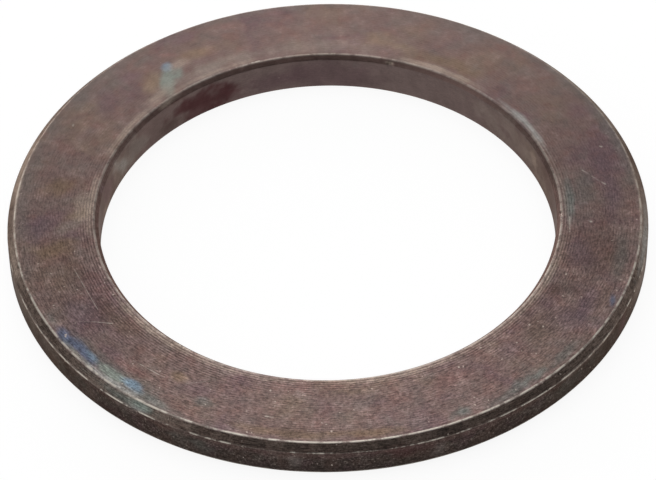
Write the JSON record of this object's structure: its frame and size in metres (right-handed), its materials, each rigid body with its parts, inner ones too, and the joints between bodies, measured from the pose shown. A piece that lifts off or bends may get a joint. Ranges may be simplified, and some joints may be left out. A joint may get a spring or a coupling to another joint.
{
  "type": "spacer washer",
  "caption": "Flat turned steel spacer ring with a plain round bore, chamfered rim edges and a lead-in chamfer at one end of the bore.",
  "frame": {"origin": "centre of the lower flat face, the one without a chamfer at the bore, so the ring rests on z = 0", "axes": "+Z along the ring's axis, towards the face with the chamfered bore edge; the ring is the same all round"},
  "size_m": [0.07, 0.07, 0.0045],
  "materials": {
    "oxidised_steel": "turned steel with a thin brown oxide film, satin"
  },
  "bodies": {
    "root": {"spacer_ring": "oxidised_steel"}
  },
  "joints": []
}
